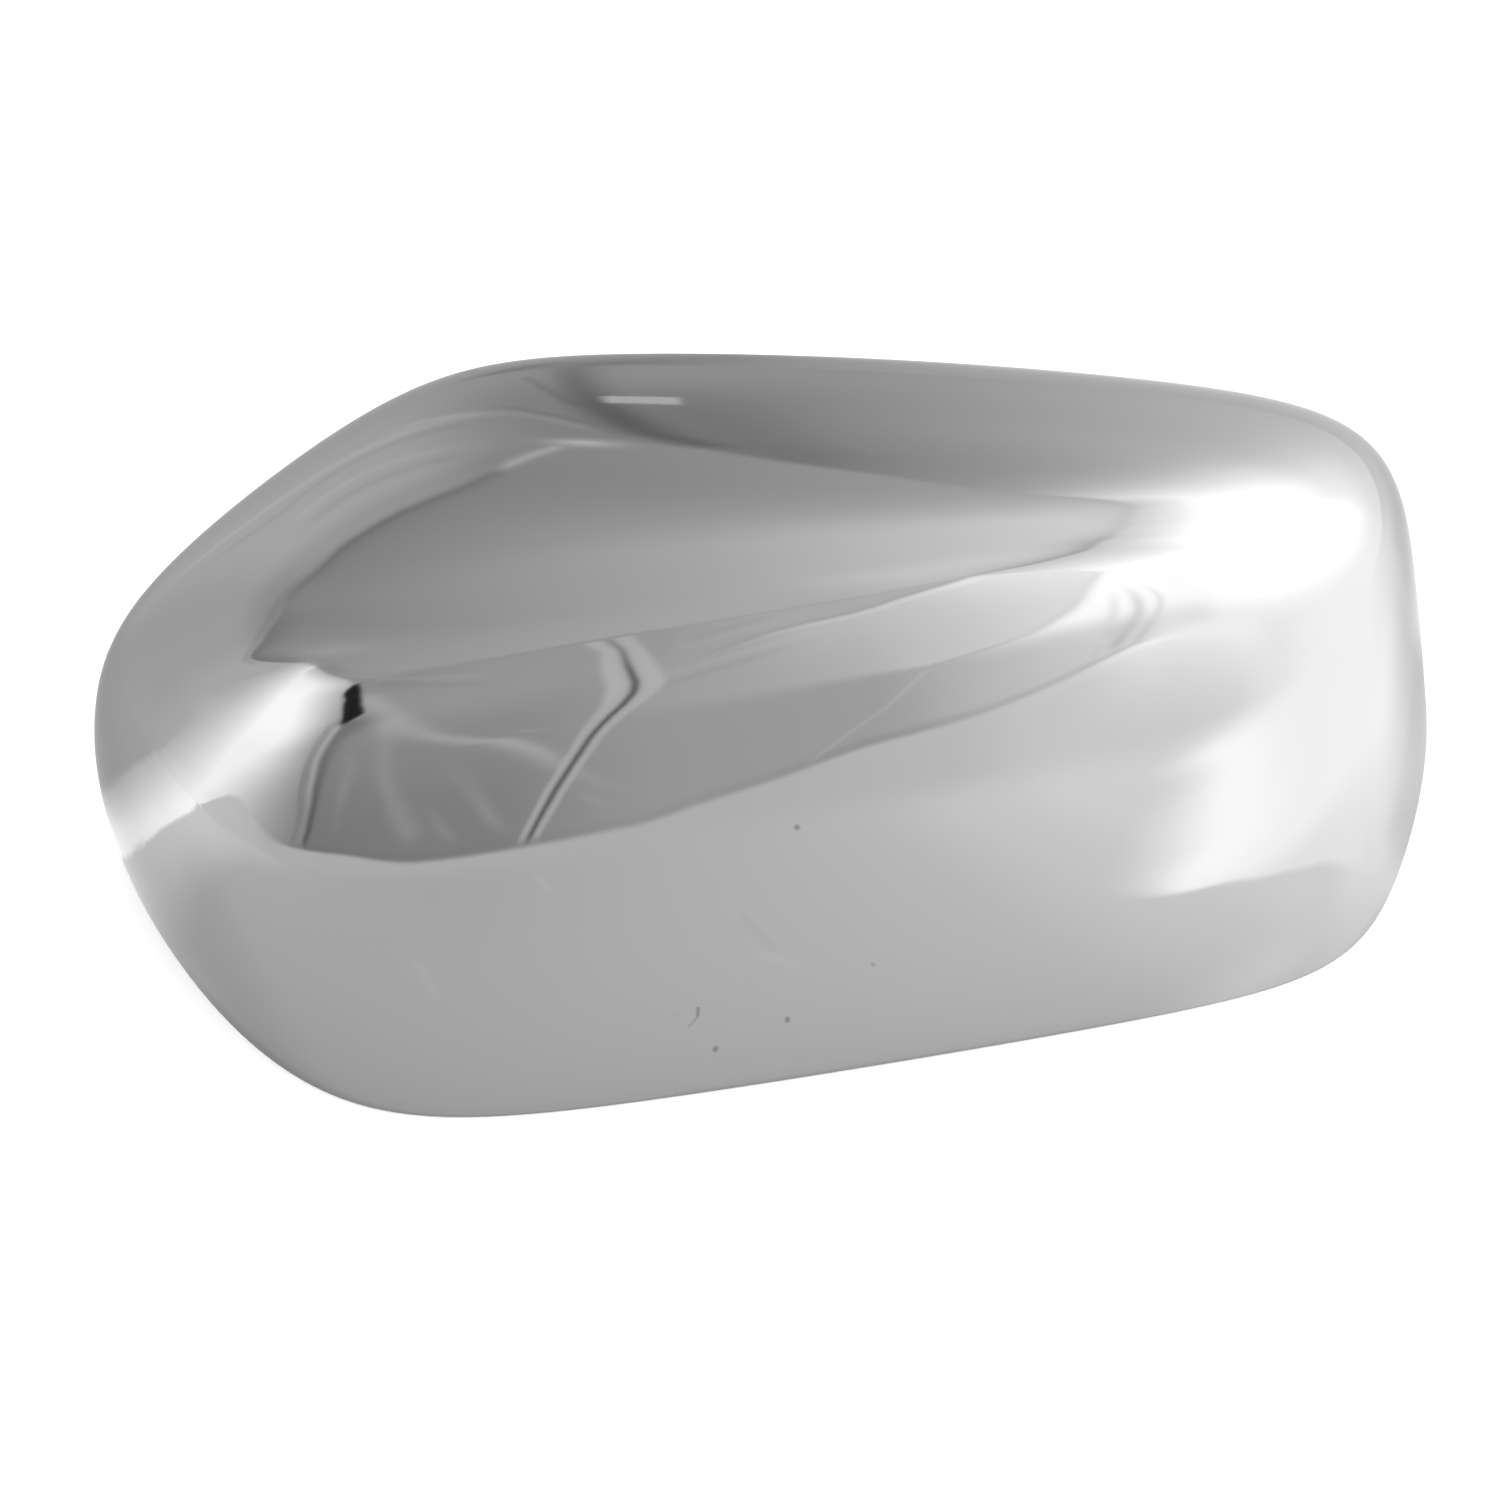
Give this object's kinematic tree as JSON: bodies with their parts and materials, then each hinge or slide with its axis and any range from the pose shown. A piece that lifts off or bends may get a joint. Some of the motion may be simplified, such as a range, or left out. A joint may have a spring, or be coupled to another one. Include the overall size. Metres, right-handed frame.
{
  "type": "wing mirror cover",
  "caption": "Deep rounded one-piece shell with a leaning front face, a tapered end and a broad end; clips over the housing of a car's wing mirror to finish and protect it.",
  "frame": {"origin": "in the plane of the rim, at the middle of the rim's outline box", "axes": "+X along the cover towards its broad end, -Y the way the leaning front face looks, +Z out of the rim's plane towards the crown"},
  "size_m": [0.2388, 0.132, 0.0825],
  "materials": {
    "chrome_plating": "bright mirror plating on moulded plastic, satin on the inside"
  },
  "bodies": {
    "root": {"cover": "chrome_plating"}
  },
  "joints": []
}
